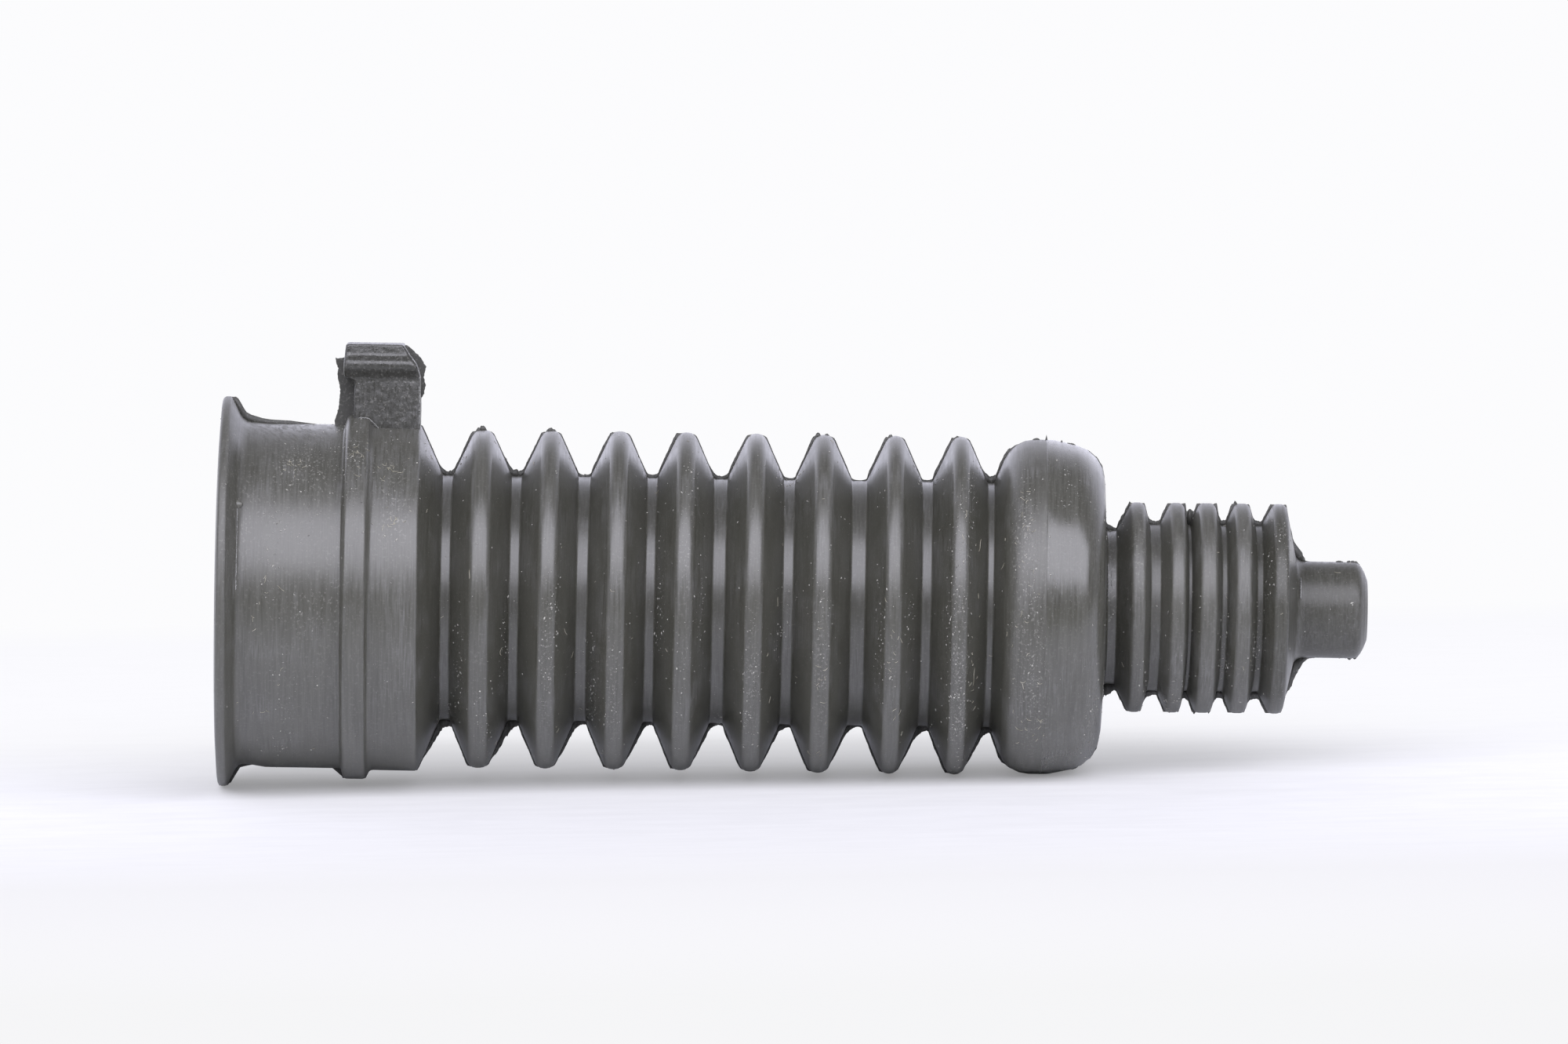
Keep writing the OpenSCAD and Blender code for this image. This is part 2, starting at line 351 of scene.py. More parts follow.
# %% What the finish reads along the boot
def surface_marks(made, x, turn, run, polish):
    """Stores where each vertex lies on the rubber: how far along the line, and the turn as a circle,
    so that grain drawn with it has no seam. Polish says how glossy the mould left that place."""
    grain = np.stack(np.broadcast_arrays(run, np.cos(turn), np.sin(turn)), -1).reshape(-1, 3)
    point_attribute(made, "grain", grain)
    whole = np.broadcast_shapes(np.shape(x), np.shape(turn))
    point_attribute(made, "polish", np.broadcast_to(polish, whole).ravel())


def polish_along(x):
    """0.95 on the barrel beyond its ring, where the mould was polished best; below 0 where the rubber
    is duller: on the barrel before the ring, on the first small folds and most on the lip's rim."""
    past_ring = fade(x, SEAM_RING_X - 0.05, SEAM_RING_X + 0.15)
    barrel_part = past_ring * (1 - fade(x, 151.5, 154))
    small_part = fade(x, 155, 158) * (1 - fade(x, 179, 182))
    before_ring = fade(x, 137, 139) * (1 - past_ring)
    rim = 1 - fade(x, 2.1, 2.8)
    return 0.95 * barrel_part - 0.5 * before_ring - 0.8 * small_part - 1.1 * rim


# Where dust has been rubbed in: place along the axis, angle from the top, reach along the axis and
# round it, and how much.
dusty_places = [(13.5, 0.63, 2.6, 0.13, 0.9), (11.6, 0.75, 1.2, 0.07, 1.0), (17.5, 0.72, 3.0, 0.2, 0.5),
                (24.3, 0.62, 1.7, 0.17, 0.9), (29.0, 0.68, 1.4, 0.09, 0.7), (30.6, 0.98, 2.0, 0.2, 0.9),
                (16.5, 1.62, 2.5, 0.12, 0.6), (21.0, 1.5, 1.2, 0.25, 0.5), (129.0, 1.75, 0.9, 0.35, 1.0),
                (129.2, 2.3, 1.3, 0.3, 0.9), (139.5, 1.1, 1.2, 0.28, 1.0), (141.0, 1.8, 2.2, 0.5, 0.7),
                (142.6, 2.2, 1.6, 0.3, 0.8), (155.0, 1.3, 1.2, 0.6, 0.8), (105.4, 2.0, 1.0, 0.4, 0.6),
                (57.6, 1.9, 1.0, 0.35, 0.6), (81.5, 1.2, 1.0, 0.3, 0.5), (69.0, 2.1, 1.0, 0.3, 0.6),
                (93.2, 2.0, 1.0, 0.3, 0.6), (160.0, 0.9, 1.5, 0.4, 0.5), (186.0, 0.9, 1.2, 0.3, 0.7),
                (6.0, 1.0, 2.0, 0.3, 0.4), (2.5, 0.9, 1.2, 0.5, 0.5)]


def dust_rubbed_in(x, turn):
    """The sum of soft round patches, each exp of minus the squared distance over its reach, and a
    thin even share everywhere; never above 1."""
    total = 0.2
    for at, angle, wide, round_, much in dusty_places:
        away = np.angle(np.exp(1j * (turn - angle)))
        total = total + much * np.exp(-((x - at) / wide) ** 2 - (away / round_) ** 2)
    return np.minimum(total, 1)


surface_marks(boot, x_grid, turn[None, :], along[:, None], polish_along(x_grid))
outer_end = np.argmax(line[:, 0] >= TIP_X - 0.02)      # the line runs back inside from here
outer_face = np.arange(len(line))[:, None] <= outer_end
point_attribute(boot, "dusty", (dust_rubbed_in(x_grid, turn[None, :]) * outer_face).ravel())
# The clamp band is scuffed at its top: the middle of that place, and its reach along and round.
SCUFF_X, SCUFF_ANGLE, SCUFF_LONG, SCUFF_TURN = 12, 0.3, 7, 0.3
scuffed = np.exp(-((x_grid - SCUFF_X) / SCUFF_LONG) ** 4
                 - ((turn[None, :] - SCUFF_ANGLE) / SCUFF_TURN) ** 4)
point_attribute(boot, "scuffed", (scuffed * outer_face).ravel())
WORN_FROM = 180.6        # the last small fold and the neck are worn dull
face_x = np.repeat(line[:, 0], AROUND)
boot.data.polygons.foreach_set("material_index", (face_x > WORN_FROM).astype(np.int32))
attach(boot, "root")
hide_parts("bellows_boot")
print("share of the boot that is worn dull:", round(float((face_x > WORN_FROM).mean()), 2))

# %% [markdown]
# ## The lug
#
# The block on the collar is the one thing that isn't turned. It is a stack of level cuts: each cut
# is a rectangle with round corners, and four numbers say how far it reaches to the left, to the
# right and to the sides, and how round it is. Going up, the left end swings out into a hook, the
# sides swell into a bead and the right end rounds over, so a handful of cuts describes all of it.

# %% Level cuts of the lug, in millimetres
lug_cuts = np.array([
    # height, left end, right end, half width, corner
    (27.8, 23.30, 34.80, 5.45, 0.5),
    (29.6, 22.90, 34.80, 5.45, 0.5),
    (30.6, 23.20, 34.80, 5.45, 0.5),
    (37.3, 23.30, 34.80, 5.35, 0.5),
    (37.9, 22.95, 34.78, 5.30, 0.5),
    (38.3, 21.55, 34.75, 5.40, 0.5),
    (39.0, 21.35, 34.62, 5.85, 0.6),
    (39.4, 21.32, 34.52, 6.15, 0.7),
    (39.9, 21.30, 34.38, 6.45, 0.8),
    (40.6, 21.32, 34.10, 6.60, 0.9),
    (41.2, 21.36, 33.75, 6.45, 0.8),
    (41.8, 21.42, 33.25, 5.85, 0.7),
    (42.1, 21.46, 33.00, 5.45, 0.6),
    (42.6, 21.52, 32.65, 5.30, 0.5),
    (43.3, 21.60, 32.15, 5.25, 0.5),
    (43.8, 21.68, 31.80, 5.20, 0.5),
])
LUG_TOP = 44.1
LID = 0.5                # width of the rounded edge round the top
CUT_STEP = 0.2
BEAD_Z = 40.7            # the moulded bead is smoother than the sides
LONG_SIDE, SHORT_SIDE, CORNER_STEPS = 34, 12, 5


def smooth_column(height, column, at, softness=0.14):
    """The column's value at each height: straight between the cuts, then averaged over a little
    height on both sides, which rounds the bends."""
    offsets = np.linspace(-softness, softness, 7)
    return np.mean([np.interp(at + o, height, column) for o in offsets], 0)


def round_rectangle(left, right, half, corner):
    """Rectangles with round corners, one a row. Each side is cut into equal parts and each corner
    into equal turns, so all rows have the same number of points. Returns x and y."""
    centre_x, centre_y = (left + right) / 2, np.zeros_like(left)
    reach_x, reach_y = (right - left) / 2 - corner, half - corner
    xs, ys = [], []
    for k in range(4):
        turn = k * math.pi / 2 + np.linspace(0, math.pi / 2, CORNER_STEPS + 1)[None, :]
        sign_x, sign_y = (1, -1, -1, 1)[k], (1, 1, -1, -1)[k]
        xs.append((centre_x + sign_x * reach_x)[:, None] + corner[:, None] * np.cos(turn))
        ys.append((centre_y + sign_y * reach_y)[:, None] + corner[:, None] * np.sin(turn))
        share = np.linspace(0, 1, (LONG_SIDE, SHORT_SIDE)[k % 2] + 1)[None, 1:-1]
        if k % 2 == 0:
            xs.append(centre_x[:, None] + sign_x * reach_x[:, None] * (1 - 2 * share))
            ys.append(np.broadcast_to((sign_y * half)[:, None], xs[-1].shape))
        else:
            ys.append(centre_y[:, None] + sign_y * reach_y[:, None] * (1 - 2 * share))
            xs.append(np.broadcast_to((centre_x + sign_x * (reach_x + corner))[:, None], ys[-1].shape))
    return np.hstack(xs), np.hstack(ys)


level = np.append(np.arange(lug_cuts[0, 0], lug_cuts[-1, 0], CUT_STEP), lug_cuts[-1, 0])
left, right, half, corner = [smooth_column(lug_cuts[:, 0], lug_cuts[:, k], level) for k in (1, 2, 3, 4)]
lid_angle = np.radians([20, 45, 70, 90])
shrink = LID * (1 - np.cos(lid_angle))
level = np.append(level, level[-1] + (LUG_TOP - level[-1]) * np.sin(lid_angle))
left, right = np.append(left, left[-1] + shrink), np.append(right, right[-1] - shrink)
half, corner = np.append(half, half[-1] - shrink), np.append(corner, np.full(4, 0.6))
lug_x, lug_y = round_rectangle(left, right, half, corner)
ring = lug_x.shape[1]
print("lug:", len(level), "cuts of", ring, "points")


# %% Roughen the cuts, skin them and close both ends
def soft_noise(u, v, cell, rng):
    """Smooth random heights from -1 to 1: random numbers on a square lattice, blended between its
    corners with s-shaped weights."""
    table = rng.uniform(-1, 1, (64, 64))
    u, v = np.asarray(u) / cell, np.asarray(v) / cell
    i, j = np.floor(u).astype(int), np.floor(v).astype(int)
    s, t = u - i, v - j
    s, t = s * s * (3 - 2 * s), t * t * (3 - 2 * t)
    corner = [table[(i + a) % 64, (j + b) % 64] for a in (0, 1) for b in (0, 1)]
    return (corner[0] * (1 - s) + corner[2] * s) * (1 - t) + (corner[1] * (1 - s) + corner[3] * s) * t


rng = np.random.default_rng(7)
lug_z = np.broadcast_to(level[:, None], lug_x.shape)
rough = 0.06 * soft_noise(lug_x + 0.6 * lug_y, lug_z, 1.6, rng)
rough = rough + 0.035 * soft_noise(lug_x, lug_z, 0.55, rng)
calm = 1 - 0.7 * fade(np.abs(lug_z - BEAD_Z), 1.6, 0.9)
lug_y = lug_y * (1 + rough * calm / 5.5)
lug_x = lug_x + 0.5 * rough * np.sign(lug_x - 28)
lug_points = np.stack([lug_x, lug_y, lug_z], -1).reshape(-1, 3)
last = (len(level) - 1) * ring
lug = new_object("lug", lug_points, grid_faces(len(level), ring, close_columns=True)[:, ::-1],
                 [np.arange(ring)[::-1]], [last + np.arange(ring)])
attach(lug, "root")
print("faces of the lug:", len(lug.data.polygons))

# %% [markdown]
# ## Flash
#
# Where the two halves of the mould met, a film of rubber crept out and was torn off by hand. What
# is left is a ragged fin in one plane, high in the valleys, thin on the slopes, and almost gone on
# the crests. It is built as a narrow strip that follows the outline: its foot is buried in the
# rubber and its edge is the outline plus a torn, uneven height.

# %% Torn edges
def torn(count, spacing, coarse, rng):
    """Uneven heights from 0 to about 1 along a torn edge: random values every `coarse` mm joined by
    straight lines, plus the same at a third and at a tenth of that distance."""
    span = count * spacing
    at = np.arange(count) * spacing
    total = np.zeros(count)
    for size, share in ((coarse, 0.5), (coarse / 3, 0.3), (coarse / 10, 0.2)):
        knots = np.arange(0, span + 2 * size, size)
        total += share * np.interp(at, knots, rng.random(len(knots)))
    return total


outer_part = along <= along[outer_end]
outer_x = np.maximum.accumulate(line[outer_part, 0])
outer_r = line[outer_part, 1]
SPACING = 0.1            # between the places along a strip, in mm
FLASH_START, FLASH_END = 1.6, TIP_X - 1.3
BURIED = 0.35            # how deep a strip's foot lies in the rubber


def outline_radius(x):
    """The radius of the outside at x."""
    return np.interp(x, outer_x, outer_r)


def filled_outline(x, back, on):
    """The outline as a film stretched over it would lie: its running average from a short way back
    to a short way on, which fills hollow corners, more so on the side it looks further into."""
    offsets = np.linspace(-back, on, 21)
    return np.mean([outline_radius(x + o) for o in offsets], 0)


def flash_strip(name, side_turn, flakes, thick, stretch, fill, whole, rng):
    """A strip in the seam plane. On slopes its edge lies outside the outline by a torn share of
    `thick`, more on rising slopes than on falling ones, but never above the crest beside it. In
    hollows it reaches the film stretched as far back and on as `stretch` says, and `fill` names how
    much of the film is left there. Each flake adds a torn bump of its own, and `whole` lists places
    and radii of a film that wasn't torn."""
    x = np.arange(FLASH_START, FLASH_END, SPACING)
    r = outline_radius(x)
    upright = 1 / np.sqrt(1 + np.gradient(filled_outline(x, 0.3, 0.3), SPACING) ** 2)
    steep = np.clip((1 - upright) / 0.5, 0, 1)
    torn_share = 0.35 + torn(len(x), SPACING, 2.2, rng) * (0.4 + 0.6 * torn(len(x), SPACING, 0.6, rng))
    side = np.where(np.gradient(filled_outline(x, 0.3, 0.3)) > 0, 1.5, 0.7)
    height = (thick * side * steep * torn_share) / np.maximum(upright, 0.42) - 0.05 * (1 - steep)
    crest = np.max([outline_radius(x + o) for o in np.linspace(-1.4, 1.4, 15)], 0)
    height = np.minimum(height, crest - r - 0.06)
    film = (filled_outline(x, *stretch) - r) * np.interp(x, *zip(*fill))
    height = np.maximum(height, film * (0.6 + 0.8 * torn(len(x), SPACING, 2.0, rng)))
    for at, tall, wide in flakes:
        bump = tall * np.exp(-((x - at) / wide) ** 4) * (0.45 + 0.9 * torn(len(x), SPACING, 0.5, rng))
        height = np.maximum(height, np.where(bump > 0.05, bump, -0.1))
    height = np.maximum(height, np.interp(x, *zip(*whole)) - r)
    strip_object(name, x, r, height, side_turn, rng)


def strip_object(name, x, r, height, side_turn, rng):
    """Four lines of points make the strip: foot and edge on both of its faces. The edge is thinner
    than the foot and sways a little from side to side."""
    foot = 0.13 + 0.05 * torn(len(x), SPACING, 1.0, rng)
    edge = 0.055 + 0.03 * torn(len(x), SPACING, 0.5, rng)
    sway = 0.22 * (torn(len(x), SPACING, 1.8, rng) - 0.5)
    lines = []
    for depth, width in ((-BURIED, foot), (0, edge), (0, -edge), (-BURIED, -foot)):
        place = rubber_place(x, r + (height if depth == 0 else depth), np.full(len(x), side_turn))
        place[:, 1] += width + (sway if depth == 0 else 0)
        lines.append(place)
    last = 4 * (len(x) - 1)
    order = 1 if math.cos(side_turn) < 0 else -1
    made = new_object(name, np.stack(lines, 1).reshape(-1, 3),
                      grid_faces(len(x), 4, close_columns=True)[:, ::order],
                      [[0, 1, 2, 3][::order], [last + 3, last + 2, last + 1, last][::order]])
    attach(made, "root")


# %% Flash above and below
# Each flake is its place along the axis, its height and its width, in mm. Each fill is a place and
# the share of the stretched film that was left there. Each flake is torn by its own chance, so a
# new one goes to the end of its list and leaves the others as they are.
top_flakes = [(39.8, 0.75, 1.1), (45.6, 0.8, 0.55), (50.2, 1.1, 0.7), (51.3, 1.2, 0.7), (52.2, 0.6, 0.4),
              (54.6, 0.55, 0.5), (57.9, 0.28, 0.35), (63.6, 0.7, 0.35), (67.4, 0.55, 0.18),
              (68.0, 0.3, 0.3), (79.3, 0.4, 0.5), (82.9, 0.28, 0.25), (86.9, 0.6, 0.5), (89.9, 1.0, 0.5),
              (90.6, 0.8, 0.4), (98.3, 0.6, 0.35), (103.8, 0.8, 0.55), (105.6, 0.25, 0.4),
              (114.8, 0.95, 0.35), (116.6, 0.6, 0.35), (124.4, 1.0, 0.2), (125.3, 0.55, 0.5),
              (128.2, 0.3, 0.4), (142.1, 0.26, 0.6), (143.9, 0.85, 0.12), (146.6, 0.45, 0.12),
              (148.3, 0.2, 0.7), (157.3, 0.8, 0.5), (158.4, 0.85, 0.6), (162.7, 0.65, 0.2),
              (164.9, 0.7, 0.5), (168.7, 0.3, 0.25), (170.6, 0.7, 0.35), (174.2, 0.3, 0.4),
              (174.6, 0.9, 0.25), (177.2, 0.8, 0.45), (183.2, 0.9, 0.6), (187.4, 0.9, 0.25),
              (188.1, 0.9, 0.25), (195.6, 0.25, 0.6), (197.2, 0.3, 0.3), (198.2, 0.36, 0.7),
              (44.9, 0.5, 0.5), (57.2, 0.45, 0.6)]
top_fill = [(0, 0), (34, 0), (38, 0.9), (50, 1.0), (60, 0.4), (72, 0.5), (84, 0.8), (96, 0.5),
            (108, 0.3), (122, 0.3), (133, 0.8), (150, 0.2), (156.5, 0.25), (159, 0.7), (164, 0.8),
            (170, 1.0), (173.5, 1.0), (175, 0.45), (178, 0.7), (181, 0.55), (187, 0.6), (192, 0.1),
            (200, 0)]
bottom_flakes = [(4.0, 0.5, 0.8), (21.4, 0.4, 0.6), (35.6, 0.25, 0.7), (39.3, 0.5, 0.9),
                 (41.8, 0.8, 0.5), (51.6, 0.6, 0.6), (53.8, 0.3, 0.5), (65.6, 0.4, 0.35),
                 (79.4, 0.3, 0.4), (90.9, 0.35, 0.5), (99.3, 0.4, 0.3), (112.6, 0.45, 0.5),
                 (126.0, 0.4, 0.5), (132.7, 0.7, 0.6), (143.9, 0.35, 0.3), (150.0, 0.2, 0.6),
                 (157.4, 0.6, 0.5), (158.6, 0.5, 0.35), (161.9, 0.45, 0.18), (164.9, 0.5, 0.5),
                 (168.4, 0.3, 0.2), (171.0, 0.6, 0.3), (173.7, 0.4, 0.18), (176.6, 0.7, 0.4),
                 (182.9, 0.7, 0.6), (186.6, 0.7, 0.35), (187.5, 1.1, 0.3), (188.3, 0.9, 0.3),
                 (190.4, 0.12, 1.2), (197.6, 0.3, 0.3), (198.6, 0.4, 0.3)]
bottom_fill = [(0, 0), (34, 0), (38, 1.2), (52, 1.1), (60, 0.75), (110, 0.7), (126, 0.8), (134, 0.8),
               (150, 0), (156, 0.5), (164, 0.6), (170, 0.6), (178, 0.6), (188, 1.0), (192, 0.2), (200, 0)]
top_film = [(1.6, 33.9), (2.5, 33.95), (2.95, 33.6), (3.5, 32.7), (3.95, 31.9), (4.4, 31.3),
            (5.2, 30.95), (7.1, 30.62), (9.4, 30.46), (12.0, 30.36), (15.0, 30.0), (17.8, 29.7), (30.0, 0),
            (168.2, 0), (168.3, 18.25), (168.75, 18.3), (168.95, 16.6), (169.1, 0),
            (170.3, 0), (170.5, 17.6), (170.75, 18.2), (171.2, 18.3), (171.3, 0),
            (173.7, 0), (173.8, 18.3), (174.25, 18.35), (174.35, 17.4), (174.6, 16.2), (174.9, 15.6),
            (175.2, 0),
            (176.0, 0), (176.3, 16.8), (176.6, 17.9), (177.2, 18.25), (177.3, 0),
            (187.2, 0), (187.5, 12.6), (187.9, 11.7), (188.6, 10.7), (189.25, 9.85), (189.3, 9.4),
            (189.65, 8.9), (189.8, 0)]
bottom_film = [(1.6, 33.9), (2.5, 33.5), (4.1, 30.8), (6.5, 29.7), (20.1, 29.75), (20.9, 30.4),
               (21.6, 31.0), (22.1, 31.4), (22.5, 31.5), (25.0, 0)]
flash_strip("flash_above", 0.0, top_flakes, 0.34, (2.1, 2.0), top_fill, top_film, rng)
flash_strip("flash_below", math.pi, bottom_flakes, 0.3, (2.9, 1.5), bottom_fill, bottom_film, rng)
print("flakes above and below:", len(top_flakes), len(bottom_flakes))

# %% A tongue of spare rubber beside the lip
TONGUE_CUTS, TONGUE_SIDES = 9, 16
TONGUE_X, TONGUE_R, TONGUE_ANGLE = 3.8, 30.2, 0.99
TONGUE_LONG, TONGUE_WIDE, TONGUE_HIGH = 1.8, 0.9, 0.4     # length round the boot, half width, half height
tongue_share = np.linspace(0, 1, TONGUE_CUTS)[:, None]
tongue_turn = np.linspace(0, 2 * math.pi, TONGUE_SIDES, endpoint=False)[None, :]
tongue_round = np.sin(math.pi * np.clip(tongue_share, 0.02, 0.98))
tongue_x = TONGUE_X + TONGUE_WIDE * tongue_round * np.cos(tongue_turn)
tongue_side = TONGUE_ANGLE + TONGUE_LONG * (0.5 - tongue_share) / SECOND_BAND_R
tongue_r = TONGUE_R + TONGUE_HIGH * tongue_round * np.sin(tongue_turn) + 0.25 * tongue_share
tongue_end = (TONGUE_CUTS - 1) * TONGUE_SIDES
tongue = new_object("tongue_at_lip", rubber_place(tongue_x, tongue_r, tongue_side).reshape(-1, 3),
                    grid_faces(TONGUE_CUTS, TONGUE_SIDES, close_columns=True),
                    [np.arange(TONGUE_SIDES)], [tongue_end + np.arange(TONGUE_SIDES)[::-1]])
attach(tongue, "root")
print("faces of the tongue:", len(tongue.data.polygons))

# %% [markdown]
# ## Torn plates round the lug
#
# The same film stood in the notch under the hook and along the lug's far edge. These pieces are
# plates: a listed outline, broken into short steps, each step pushed aside by chance, and the
# whole given a thickness.

# %% Plates of flash
def torn_outline(outline, step, jitter, keep, rng):
    """Walks round a closed outline in equal steps and pushes each place aside by up to the jitter.
    Places in the kept range of x stay, because they are buried in the rubber."""
    outline = np.array(outline, float)
    closed = np.vstack([outline, outline[:1]])
    lengths = np.concatenate([[0], np.cumsum(np.hypot(*np.diff(closed, axis=0).T))])
    at = np.arange(0, lengths[-1], step)
    x, z = (np.interp(at, lengths, closed[:, k]) for k in (0, 1))
    free = (x < keep[0]) | (x > keep[1])
    x = x + free * rng.uniform(-jitter, jitter, len(x))
    z = z + free * rng.uniform(-jitter, jitter, len(z))
    return x, z


def plate_object(name, outline, thick, jitter, keep, rng):
    """A plate in the seam plane: two copies of a torn outline, a thickness apart, and a rim."""
    x, z = torn_outline(outline, 0.25, jitter, keep, rng)
    n = len(x)
    points = np.vstack([np.stack([x, np.full(n, y), z], 1) for y in (-thick / 2, thick / 2)])
    k = np.arange(n)
    rim = np.stack([k, (k + 1) % n, n + (k + 1) % n, n + k], 1)
    made = new_object(name, points, [k[::-1]], [n + k], rim)
    made.data.shade_flat()
    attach(made, "root")
    print(name + ":", n, "steps round its outline")


notch_web = [(23.6, 28.6), (19.9, 28.8), (19.75, 30.6), (20.2, 31.9), (20.45, 33.1), (20.6, 34.7),
             (20.65, 36.2), (20.3, 37.6), (20.15, 38.9), (20.3, 39.6), (19.9, 40.6), (19.75, 41.5),
             (20.4, 41.35), (21.2, 41.6), (23.6, 41.0)]
far_edge = [(31.2, 43.6), (32.2, 43.9), (32.9, 43.35), (33.9, 42.5), (34.7, 41.6), (35.6, 40.2),
            (35.45, 39.2), (35.15, 38.3), (35.55, 37.3), (35.4, 35.9), (35.1, 35.0), (34.75, 34.6),
            (34.0, 34.8), (34.0, 37.4), (33.4, 40.2), (31.6, 42.6)]
plate_object("flash_in_notch", notch_web, 0.6, 0.06, (22.0, 24.0), rng)
plate_object("flash_on_lug_edge", far_edge, 0.45, 0.1, (30.0, 33.6), rng)

# %% [markdown]
# ## Lint and dust
#
# Rubber picks up whatever lies on a shelf. The fibres are thin tubes that lie on the surface: a
# fibre's path is a curve in the two numbers that name a place on the boot, so it follows folds and
# crests by itself. The specks are grains of eight faces, thousands of them, gathered in patches.

# %% Places on the outside
outer_along = along[outer_part]
outer_heading = np.unwrap(heading[outer_part])


def surface_at(run, turn, lift):
    """The place a little above the rubber, and the normal there, for distances along the outline
    and angles from the top."""
    drawn = (line[outer_part, 0], outer_r, outer_heading)
    x, r, h = (np.interp(run, outer_along, values) for values in drawn)
    normal = rubber_normal(x, r, turn, h)
    return rubber_place(x, r, turn) + normal * lift, normal


# %% Lint
FIBRES = 250
FIBRE_R = 0.033
PATH, SIDES = 14, 5
USUAL_R = 25.0           # turns a length round the boot into an angle
# Fibres that catch the eye: place along the axis, angle from the top, length, bearing, curl.
seen_fibres = np.array([(139.0, 2.35, 1.9, 0.5, -0.6), (131.9, 1.95, 3.6, 1.7, 0.3),
                        (132.6, 1.02, 3.4, 1.8, 0.4), (129.6, 0.92, 1.9, 0.4, 2.4),
                        (60.5, 1.72, 2.2, 0.6, 0.5), (97.5, 1.48, 2.0, 1.5, 0.4),
                        (62.3, 1.95, 1.5, 2.4, 0.2), (44.0, 1.35, 1.6, 0.9, 1.2),
                        (178.6, 2.1, 1.2, 1.0, 0.9)])

# Places where short pale scratches lie together: place along the axis, angle from the top, and
# how far they spread along and round; and how many lie in each.
scratch_homes = np.array([(12.6, 0.66, 1.3, 0.05), (24.6, 0.62, 1.0, 0.06), (29.8, 0.70, 0.9, 0.04),
                          (30.8, 1.0, 1.0, 0.08), (139.6, 1.0, 0.9, 0.15), (141.0, 1.7, 1.8, 0.25),
                          (142.0, 2.2, 1.8, 0.2), (131.6, 1.9, 0.7, 0.3), (118.0, 1.9, 1.5, 0.3),
                          (105.5, 2.0, 1.5, 0.3), (8.0, 1.9, 3.0, 0.3)])
SCRATCHES = 12


def lint_tubes(rng):
    """Each fibre starts somewhere, heads somewhere and curls; its path is walked in equal steps on
    the surface. A ring of five points stands round every place on it, and both ends are closed."""
    run = rng.uniform(outer_along[3], outer_along[-6], FIBRES)
    around = rng.uniform(0, 2 * math.pi, FIBRES)
    length = rng.gamma(2.0, 0.38, FIBRES) + 0.25
    aim = rng.uniform(0, 2 * math.pi, FIBRES)
    curl = rng.normal(0, 0.9, FIBRES)
    known = len(seen_fibres)
    run[:known] = np.interp(seen_fibres[:, 0], outer_x, outer_along)
    around[:known], length[:known], aim[:known], curl[:known] = seen_fibres[:, 1:].T
    near = slice(known, known + len(scratch_homes) * SCRATCHES)
    home = np.repeat(scratch_homes, SCRATCHES, 0)
    run[near] = np.interp(home[:, 0], outer_x, outer_along) + home[:, 2] * rng.normal(size=len(home))
    around[near] = home[:, 1] + home[:, 3] * rng.normal(size=len(home))
    length[near] = rng.uniform(0.4, 1.3, len(home))
    t = np.linspace(0, 1, PATH)[None, :]
    bearing = aim[:, None] + curl[:, None] * t + 0.35 * np.sin(5 * t + aim[:, None])
    pace = (length / PATH)[:, None]
    runs = run[:, None] + np.cumsum(np.cos(bearing) * pace, 1)
    turns = around[:, None] + np.cumsum(np.sin(bearing) * pace, 1) / USUAL_R
    middle, normal = surface_at(np.clip(runs, outer_along[2], outer_along[-3]), turns, FIBRE_R)
    ahead = np.gradient(middle, axis=1)
    ahead /= np.linalg.norm(ahead, axis=-1, keepdims=True) + 1e-9
    beside = np.cross(ahead, normal)
    ring = np.linspace(0, 2 * math.pi, SIDES, endpoint=False)[:, None]
    taper = FIBRE_R * np.sqrt(np.clip(1 - np.abs(2 * t - 1) ** 6, 0.05, 1))[..., None, None]
    round_path = np.cos(ring) * beside[:, :, None, :] + np.sin(ring) * normal[:, :, None, :]
    tube = middle[:, :, None, :] + taper * round_path
    start = (np.arange(FIBRES) * PATH * SIDES)[:, None, None]
    skin = (grid_faces(PATH, SIDES, close_columns=True)[None] + start).reshape(-1, 4)
    caps = np.stack([np.arange(SIDES), (PATH - 1) * SIDES + np.arange(SIDES)[::-1]])
    return tube.reshape(-1, 3), skin, (caps[None] + start).reshape(-1, SIDES)


lint = new_object("lint", *lint_tubes(rng))
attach(lint, "root")
print("lint fibres:", FIBRES)

# %% Dust
PATCHES, LOOSE, GRAINS = 90, 2600, 6500
LAST_PATCH_X = 186.0     # chance puts no patch beyond, on the neck

# Patches that the photo shows: place along the axis and angle from the top.
seen_patches = np.array([(129.0, 1.2), (129.0, 1.5), (129.2, 1.8), (129.0, 2.1), (129.1, 2.35),
                         (93.2, 1.9), (93.0, 2.2), (81.0, 2.0), (69.2, 2.2), (57.4, 2.0), (17.0, 0.72),
                         (14.0, 0.8), (24.0, 0.75), (30.0, 0.7), (140.0, 0.95), (141.5, 1.3),
                         (142.5, 1.7), (105.2, 1.6), (116.9, 1.8), (128.8, 1.0), (186.0, 0.8)])


